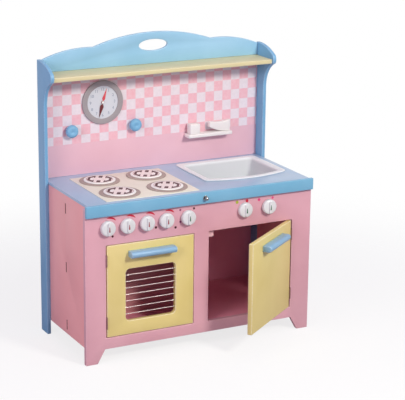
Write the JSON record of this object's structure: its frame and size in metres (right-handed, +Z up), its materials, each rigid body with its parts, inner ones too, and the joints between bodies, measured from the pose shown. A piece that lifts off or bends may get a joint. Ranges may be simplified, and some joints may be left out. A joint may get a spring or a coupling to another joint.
{
  "type": "toy kitchen",
  "caption": "Wooden toy kitchen: cabinet with swinging oven and cupboard doors, counter with hob and lift-out sink, turning knobs, and a hutch with clock, pegs, tap and shelf.",
  "frame": {"origin": "on the floor, under the middle of the box round the kitchen with its cupboard door ajar", "axes": "+X to the right as one stands in front of it, +Y to the rear, +Z up"},
  "size_m": [0.785, 0.531, 0.9415],
  "materials": {
    "blue_paint": "satin paint on board",
    "counter_blue": "satin lacquer on board",
    "pink_paint": "satin paint on board",
    "pink_check": "satin paint with a printed pink and white check",
    "yellow_paint": "satin paint on board",
    "white_enamel": "glossy white plastic",
    "knob_white": "glossy white plastic",
    "tap_white": "white gloss paint",
    "hob_cream": "satin sheet",
    "burner_taupe": "matt paint",
    "cap_white": "satin white",
    "grate_brown": "printed brown",
    "clock_grey": "satin grey",
    "dial_white": "satin white with grey numerals",
    "hand_red": "glossy red",
    "bare_wood": "bare beech",
    "steel": "plated steel",
    "chrome": "bright chrome"
  },
  "bodies": {
    "cabinet": {"left_hutch_side": "blue_paint", "right_hutch_side": "blue_paint", "crest_board": "blue_paint", "splash_panel": "pink_check", "top_shelf": "yellow_paint", "hutch_dowels": "bare_wood", "countertop": "counter_blue", "counter_fascia": "blue_paint", "front_panel": "pink_paint", "left_side_panel": "pink_paint", "right_side_panel": "pink_paint", "side_panel_screws": "steel", "centre_divider": "pink_paint", "cabinet_floor": "pink_paint", "cabinet_back": "pink_paint", "oven_back": "pink_paint", "hob_panel": "hob_cream", "burner_discs": "burner_taupe", "burner_caps": "cap_white", "burner_grates": "grate_brown", "towel_hook": "chrome", "clock_ring": "clock_grey", "clock_dial": "dial_white", "clock_pin": "steel", "utensil_pegs": "blue_paint", "tap_base": "tap_white", "tap_block": "tap_white", "splash_screws": "steel", "knob_bolts": "steel", "door_stops": "pink_paint", "door_magnets": "steel", "hinge_frame_leaves": "steel", "hinge_pins": "steel", "hinge_frame_screws": "steel"},
    "oven_door_leaf": {"oven_door": "yellow_paint", "oven_handle": "blue_paint", "oven_handle_screws": "steel", "oven_strike": "steel", "oven_hinge_leaves": "steel", "oven_hinge_screws": "steel", "oven_window_rods": "chrome"},
    "cupboard_door_leaf": {"cupboard_door": "yellow_paint", "cupboard_handle": "blue_paint", "cupboard_handle_screws": "steel", "cupboard_strike": "steel", "cupboard_hinge_leaves": "steel", "cupboard_hinge_screws": "steel"},
    "hour_hand": {"clock_hour_hand": "hand_red"},
    "minute_hand": {"clock_minute_hand": "hand_red"},
    "spout": {"tap_spout": "tap_white"},
    "sink": {"sink_basin": "white_enamel"},
    "hob_knob_1_body": {"hob_knob_1": "knob_white"},
    "hob_knob_2_body": {"hob_knob_2": "knob_white"},
    "hob_knob_3_body": {"hob_knob_3": "knob_white"},
    "hob_knob_4_body": {"hob_knob_4": "knob_white"},
    "oven_knob_body": {"oven_knob": "knob_white"},
    "sink_knob_left_body": {"sink_knob_left": "knob_white"},
    "sink_knob_right_body": {"sink_knob_right": "knob_white"}
  },
  "joints": [
    {"name": "oven_door_swing", "type": "hinge", "parent": "cabinet", "child": "oven_door_leaf", "pos_m": [-0.3205, -0.09224, 0.226], "axis": [0, 0, -1], "range_deg": [0, 105]},
    {"name": "cupboard_door_swing", "type": "hinge", "parent": "cabinet", "child": "cupboard_door_leaf", "pos_m": [0.3205, -0.09224, 0.226], "axis": [0, 0, 1], "range_deg": [-36.6, 68.4]},
    {"name": "hour_hand_turn", "type": "hinge", "parent": "cabinet", "child": "hour_hand", "pos_m": [-0.1785, 0.25246, 0.73], "axis": [0, 1, 0], "continuous": true},
    {"name": "minute_hand_turn", "type": "hinge", "parent": "cabinet", "child": "minute_hand", "pos_m": [-0.1785, 0.25246, 0.73], "axis": [0, 1, 0], "continuous": true},
    {"name": "spout_swivel", "type": "hinge", "parent": "cabinet", "child": "spout", "pos_m": [0.256, 0.23846, 0.6005], "axis": [0, 0, 1], "range_deg": [0, 90]},
    {"name": "sink_lift", "type": "slide", "parent": "cabinet", "child": "sink", "axis": [0, 0, 1], "range_m": [0, 0.07]},
    {"name": "hob_knob_1_turn", "type": "hinge", "parent": "cabinet", "child": "hob_knob_1_body", "pos_m": [-0.318, -0.09004, 0.4285], "axis": [0, 1, 0], "continuous": true},
    {"name": "hob_knob_2_turn", "type": "hinge", "parent": "cabinet", "child": "hob_knob_2_body", "pos_m": [-0.2533, -0.09004, 0.4285], "axis": [0, 1, 0], "continuous": true},
    {"name": "hob_knob_3_turn", "type": "hinge", "parent": "cabinet", "child": "hob_knob_3_body", "pos_m": [-0.1886, -0.09004, 0.4285], "axis": [0, 1, 0], "continuous": true},
    {"name": "hob_knob_4_turn", "type": "hinge", "parent": "cabinet", "child": "hob_knob_4_body", "pos_m": [-0.1239, -0.09004, 0.4285], "axis": [0, 1, 0], "continuous": true},
    {"name": "oven_knob_turn", "type": "hinge", "parent": "cabinet", "child": "oven_knob_body", "pos_m": [-0.0499, -0.09004, 0.4285], "axis": [0, 1, 0], "continuous": true},
    {"name": "sink_knob_left_turn", "type": "hinge", "parent": "cabinet", "child": "sink_knob_left_body", "pos_m": [0.148, -0.09004, 0.4285], "axis": [0, 1, 0], "continuous": true},
    {"name": "sink_knob_right_turn", "type": "hinge", "parent": "cabinet", "child": "sink_knob_right_body", "pos_m": [0.233, -0.09004, 0.4285], "axis": [0, 1, 0], "continuous": true}
  ]
}
